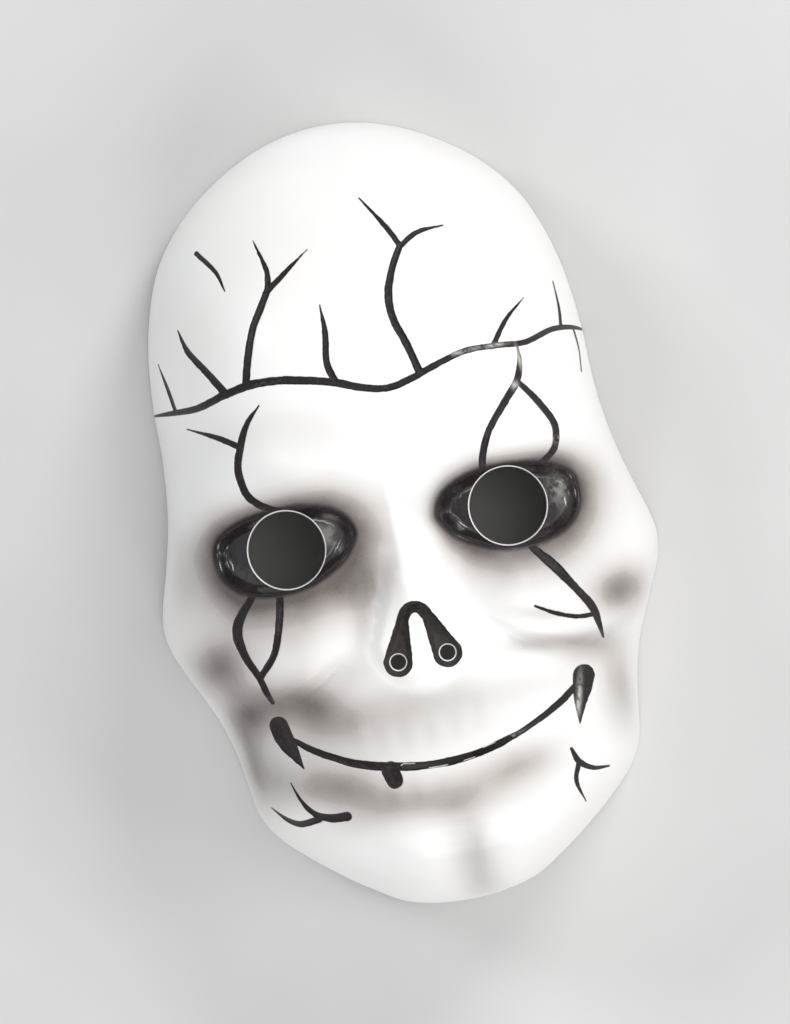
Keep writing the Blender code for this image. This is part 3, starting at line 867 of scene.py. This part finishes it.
def shade(x, y):
    """How dark the airbrushed grey and the painted shade are."""
    total = np.zeros(np.shape(x))
    for at_x, at_y, spread_x, spread_y, tilt, depth in AIRBRUSH_AND_PAINTED_SHADE:
        centre = (at_x * MM, at_y * MM + EYE_LINE)
        total += depth * swelling(x, y, centre, (spread_x * MM, spread_y * MM), math.radians(tilt))
    total *= 1.0 - CLEAN_PAD * smooth_step(inside_pad(x, y) / CLEAN_EDGE + 0.5)
    out = (np.abs(x) - EYE_SPACING / 2) / (EYE_SPACING / 2 - SOCKET_INNER)
    up = (y - EYE_LINE) / (SOCKET_HEIGHT / 2)
    ways = np.stack((np.minimum(out, 0.0), np.maximum(out, 0.0), np.maximum(up, 0.0), np.minimum(up, 0.0))) ** 2
    ways = ways / np.maximum(ways.sum(0), 1e-9)
    left, right = np.tensordot(np.array(HALO_REACH) * MM, ways, 1)
    edge = np.maximum(-inside_socket(x, y), 0.0) / np.where(x < 0, left, right)
    total = 1.0 - (1.0 - np.minimum(total, 1.0)) * (1.0 - HALO * np.exp(-(edge**HALO_POWER)))
    foot, full = SIDE_FADE
    return total * (SIDE_SHADE + (1.0 - SIDE_SHADE) * smooth_step((height(x, y, False) - foot) / (full - foot)))


def worn_lip(x, y):
    """1 where the paint on the slit's lip is whole, -1 where it is off, and between at the ends."""
    whole = np.ones(len(x))
    side = np.sign(y - mouth_line(x))
    for start, end, at in WORN_LIP:
        off = smooth_step(x / MM - start + 0.5) * smooth_step(end - x / MM + 0.5) * (side == at)
        whole = np.minimum(whole, 1.0 - 2.0 * off)
    return whole


def painted_sheen(x, y):
    """How strong the painted highlight on the black paint is."""
    total = np.zeros(np.shape(x))
    for at_x, at_y, spread_x, spread_y, tilt, share in PAINTED_HIGHLIGHTS:
        centre = (at_x * MM, at_y * MM + EYE_LINE)
        total += share * swelling(x, y, centre, (spread_x * MM, spread_y * MM), math.radians(tilt))
    return total


def paint_edge(x, y):
    """The distance inward from the edge of the black paint with a sharp edge, in millimetres."""
    return np.clip(np.maximum(inside_nose(x, y), inside_strokes(x, y)) / MM, -EDGE_LIMIT, EDGE_LIMIT)


def nose_edge(x, y):
    """The distance inward from the edge of the nose opening, in millimetres."""
    return np.clip(inside_nose(x, y) / MM, -EDGE_LIMIT, EDGE_LIMIT)


def socket_edge(x, y):
    """The distance inward from the edge of a socket, in millimetres."""
    return np.clip(inside_socket(x, y) / MM, -EDGE_LIMIT, SOCKET_LIMIT)


def cut_edges():
    """The rim and the cut edges of all the holes, the mouth slit's last."""
    edges = [rim_strip()]
    for side in (1, -1):

        def eye(bevel, side=side):
            return round_outline(side * EYE_SPACING / 2, EYE_LINE, EYE_HOLE / 2 + bevel, RING_STEPS)

        def nostril(bevel, side=side):
            return round_outline(side * NOSE_SPREAD, EYE_LINE - NOSE_FOOT, NOSTRIL / 2 + bevel, SMALL_RING_STEPS)

        edges.append(hole_lip(eye, HOLE_BEVEL))
        edges.append(hole_lip(nostril, HOLE_BEVEL))
        edges.append(strap_lip(side))
    edges.append(hole_lip(lambda bevel: slit_outline(SLIT_WIDTH / 2 + bevel), SLIT_BEVEL))
    return edges


def mask_mesh():
    """The whole shell: outer face, inner face, and the cut edges between them."""
    fine, fine_faces = clipped(*square_grid(OUTER_BANDS, edge_distance), outer_place, HOLE_BEVEL)
    plain, plain_faces = clipped(*square_grid(INNER_BANDS, hole_distance), inner_place, 0.0)
    outer, inner = outer_place(fine), inner_place(plain)
    outer_normals = normals(outer[:, 0], outer[:, 1], NORMAL_STEP, True)
    x, y = plan(plain[:, 0], plain[:, 1])
    inner_normals = -normals(x, y, INNER_STEP, False)
    inner[:, 2] = np.maximum(inner[:, 2], 0.0)
    edges = cut_edges()
    slit_places, slit_quads = edges[-1]

    points = [outer, inner]
    faces = [tuple(face) for face in fine_faces.tolist()]
    faces += [tuple(k + len(outer) for k in face[::-1]) for face in plain_faces.tolist()]
    start = len(outer) + len(inner)
    for places, quads in edges:
        points.append(places)
        faces += [tuple(k + start for k in quad) for quad in quads]
        start += len(places)
    mesh = bpy.data.meshes.new("skull_mask")
    mesh.from_pydata(np.concatenate(points).tolist(), [], faces)
    mesh.update()

    slots = np.full(len(faces), BARE_SLOT, np.int32)
    slots[: len(fine_faces)] = PAINTED_SLOT
    slots[-len(slit_quads) :] = PAINTED_SLOT
    mesh.polygons.foreach_set("material_index", slots)
    mesh.shade_smooth()
    face_normals = np.zeros((len(mesh.vertices), 3), np.float32)
    mesh.vertex_normals.foreach_get("vector", face_normals.reshape(-1))
    face_normals[: len(outer)] = outer_normals
    face_normals[len(outer) : len(outer) + len(inner)] = inner_normals
    mesh.normals_split_custom_set_from_vertices(face_normals.tolist())

    for field, bare in (
        (paint_edge, -EDGE_LIMIT),
        (nose_edge, -EDGE_LIMIT),
        (socket_edge, -EDGE_LIMIT),
        (shade, 0.0),
        (painted_sheen, 0.0),
    ):
        values = np.full(len(mesh.vertices), bare, np.float32)
        values[: len(outer)] = field(outer[:, 0], outer[:, 1])
        if field is paint_edge:
            values[-len(slit_places) :] = worn_lip(slit_places[:, 0], slit_places[:, 1])
        mesh.attributes.new(field.__name__, "FLOAT", "POINT").data.foreach_set("value", values)
    return mesh


class Nodes:
    """A short way to write a material's nodes."""

    def __init__(self, name):
        self.material = bpy.data.materials.new(name)
        self.material.use_nodes = True
        self.tree = self.material.node_tree
        self.surface = self.tree.nodes["Principled BSDF"]
        self.coordinates = self.tree.nodes.new("ShaderNodeTexCoord").outputs["Object"]

    def add(self, kind, settings=None, **inputs):
        node = self.tree.nodes.new(kind)
        for key, value in (settings or {}).items():
            setattr(node, key, value)
        for key, value in inputs.items():
            self.put(node.inputs[int(key[1:]) if key[0] == "i" and key[1:].isdigit() else key], value)
        return node

    def put(self, socket, value):
        if isinstance(value, bpy.types.NodeSocket):
            self.tree.links.new(value, socket)
        else:
            socket.default_value = value

    def attribute(self, name):
        return self.add("ShaderNodeAttribute", {"attribute_name": name}).outputs["Fac"]

    def noise(self, scale, detail=3.0, roughness=0.5):
        node = self.add("ShaderNodeTexNoise", Vector=self.coordinates, Scale=scale, Detail=detail,
                        Roughness=roughness)
        return node.outputs["Fac"]

    def math(self, operation, a, b=0.0, c=0.0):
        return self.add("ShaderNodeMath", {"operation": operation}, i0=a, i1=b, i2=c).outputs[0]

    def ramp(self, value, start, end, to_start=0.0, to_end=1.0, kind="SMOOTHSTEP"):
        node = self.add("ShaderNodeMapRange", {"interpolation_type": kind}, i0=value, i1=start, i2=end,
                        i3=to_start, i4=to_end)
        return node.outputs[0]

    def mix(self, share, first, second):
        node = self.add("ShaderNodeMix", {"data_type": "RGBA"}, i0=share, i6=first, i7=second)
        return node.outputs[2]

    def bump(self, height_value, distance, strength=1.0, after=None):
        node = self.add("ShaderNodeBump", Height=height_value, Distance=distance, Strength=strength)
        if after is not None:
            self.tree.links.new(after, node.inputs["Normal"])
        return node.outputs["Normal"]


def painted_plastic():
    """White moulded plastic with airbrushed grey and painted shade, and hand-painted glossy black with painted
    highlights and reflections.
    """
    n = Nodes("painted_plastic")
    steep = n.add("ShaderNodeSeparateXYZ", Vector=n.tree.nodes.new("ShaderNodeNewGeometry").outputs["Normal"])
    wobble = n.math("MULTIPLY_ADD", n.noise(420.0, 2.0), 0.5, -0.25)
    wobble = n.math("MULTIPLY", wobble, n.ramp(steep.outputs["Z"], 0.15, 0.8))
    edge = n.math("ADD", n.attribute("paint_edge"), wobble)
    socket = n.attribute("socket_edge")
    black = n.math("MAXIMUM", n.ramp(edge, *STROKE_EDGE), n.ramp(n.math("ADD", socket, wobble), *SOCKET_EDGE))
    cloud = n.ramp(n.noise(45.0, 3.0, 0.5), 0.30, 0.70, 0.88, 1.12, "LINEAR")
    speck = n.ramp(n.noise(2600.0, 2.0, 0.7), 0.30, 0.75, 0.95, 1.05, "LINEAR")
    # grey: the airbrushing and painted shade
    grey = n.math("MULTIPLY", n.math("MULTIPLY", n.attribute("shade"), cloud), speck)
    grey = n.math("MINIMUM", grey, DARKEST_GREY)
    white = n.mix(n.ramp(n.noise(22.0, 3.0), 0.35, 0.70), WHITE, WARM_WHITE)
    thin = n.mix(n.ramp(grey, 0.0, 0.55, kind="LINEAR"), white, HAZE)
    shaded_white = n.mix(n.ramp(grey, 0.50, 1.0, kind="LINEAR"), thin, SMOKE)
    worn = n.mix(n.ramp(n.noise(900.0, 4.0, 0.7), 0.48, 0.72), BLACK, DUSTY_BLACK)
    # painted reflection: lighter mottled patches on the floor of the sockets
    patch = n.ramp(n.noise(120.0, 4.0, 0.65), 0.50, 0.72)
    socket_reflection = n.math("MULTIPLY", patch, n.ramp(socket, *REFLECTION_EDGE, 0.0, SOCKET_REFLECTION))
    nose = n.ramp(n.attribute("nose_edge"), *NOSE_EDGE)
    dull = n.mix(n.ramp(n.noise(700.0, 3.0, 0.6), 0.35, 0.70), DULL_BLACK, DUSTY_BLACK)
    # painted highlights: the black turns pale where its gloss would shine
    sheen_share = n.math("MULTIPLY", n.attribute("painted_sheen"), n.ramp(n.noise(340.0, 3.0, 0.55), 0.32, 0.56))
    paint = n.mix(sheen_share, n.mix(nose, n.mix(socket_reflection, worn, REFLECTION_GREY), dull), SHEEN_COLOUR)
    n.put(n.surface.inputs["Base Color"], n.mix(black, shaded_white, paint))
    matte = n.ramp(n.noise(160.0, 3.0), 0.3, 0.7, *MATTE, "LINEAR")
    gloss = n.ramp(n.noise(260.0, 3.0), 0.3, 0.7, *GLOSS, "LINEAR")
    dry = n.ramp(socket, *DRY_EDGE, DRY_PAINT, 0.0)
    glossy = n.math("MAXIMUM", gloss, n.math("MAXIMUM", dry, n.ramp(nose, 0.0, 1.0, 0.0, NOSE_PAINT)))
    n.put(n.surface.inputs["Roughness"], n.add("ShaderNodeMix", i0=black, i2=matte, i3=glossy).outputs[0])
    n.put(n.surface.inputs["Specular IOR Level"], SPECULAR)
    n.put(n.surface.inputs["Coat Weight"], n.ramp(socket, *COAT_EDGE, 0.0, COAT))
    n.put(n.surface.inputs["Coat Roughness"], COAT_ROUGHNESS)
    ripple = n.bump(n.noise(55.0, 2.0), 0.00035, 0.5)
    peel = n.bump(n.math("MULTIPLY", n.noise(300.0, 2.0, 0.5), black), 0.00010, 0.12, ripple)
    n.put(n.surface.inputs["Normal"], peel)
    return n.material


def bare_plastic():
    """The unpainted plastic of the inner face and the cut edges."""
    n = Nodes("bare_plastic")
    n.put(n.surface.inputs["Base Color"], n.mix(n.ramp(n.noise(40.0, 3.0), 0.35, 0.7), WHITE, WARM_WHITE))
    n.put(n.surface.inputs["Roughness"], n.ramp(n.noise(200.0, 3.0), 0.3, 0.7, *BARE, "LINEAR"))
    n.put(n.surface.inputs["Normal"], n.bump(n.noise(260.0, 3.0), 0.0002, 0.4))
    return n.material


def floor():
    bpy.ops.mesh.primitive_plane_add(size=FLOOR_SIZE, location=(0, 0, -FLOOR_DROP))
    made = bpy.context.object
    made.name = "floor"
    n = Nodes("floor_paint")
    tone = n.ramp(n.noise(6.0, 4.0), 0.35, 0.65)
    n.put(n.surface.inputs["Base Color"], n.mix(tone, FLOOR_DARK, FLOOR_LIGHT))
    n.put(n.surface.inputs["Roughness"], FLOOR_ROUGHNESS)
    made.data.materials.append(n.material)


def area_light(name, place, size, power, colour):
    lamp = bpy.data.lights.new(name, "AREA")
    lamp.shape = "DISK"
    lamp.size = size
    lamp.energy = power
    lamp.color = colour
    made = bpy.data.objects.new(name, lamp)
    made.location = place
    made.rotation_euler = (Vector(LIGHT_TARGET) - Vector(place)).to_track_quat("-Z", "Y").to_euler()
    bpy.context.scene.collection.objects.link(made)


def lights():
    for name, place, size, power, colour in LIGHTS:
        area_light(name, place, size, power, colour)
    world = bpy.data.worlds.new("room")
    world.use_nodes = True
    background = world.node_tree.nodes["Background"]
    background.inputs["Color"].default_value = ROOM_COLOUR
    background.inputs["Strength"].default_value = ROOM_STRENGTH
    bpy.context.scene.world = world


def camera():
    """Straight over the face, turned so that the crown leans left as in the photograph."""
    data = bpy.data.cameras.new("camera")
    made = bpy.data.objects.new("camera", data)
    data.sensor_fit = "AUTO"
    data.sensor_width = SENSOR
    data.lens = data.sensor_width * CAMERA_DISTANCE * CAMERA_SHARE / LENGTH
    data.clip_end = 50.0
    roll, yaw = math.radians(CAMERA_ROLL), math.radians(CAMERA_YAW)
    turn = Matrix.Rotation(yaw, 4, "Y") @ Matrix.Rotation(-roll, 4, "Z")
    target = Vector((0, 0, DEPTH / 2))
    made.matrix_world = Matrix.Translation(target + turn @ Vector((0, 0, CAMERA_DISTANCE))) @ turn
    bpy.context.scene.collection.objects.link(made)
    bpy.context.scene.camera = made


def main():
    mask = bpy.data.objects.new("skull_mask", mask_mesh())
    bpy.context.scene.collection.objects.link(mask)
    mask.data.materials.append(painted_plastic())
    mask.data.materials.append(bare_plastic())
    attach(mask, "root")
    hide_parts("mask_shell")
    floor()
    lights()
    camera()
    bpy.context.scene.view_settings.view_transform = "Standard"


main()
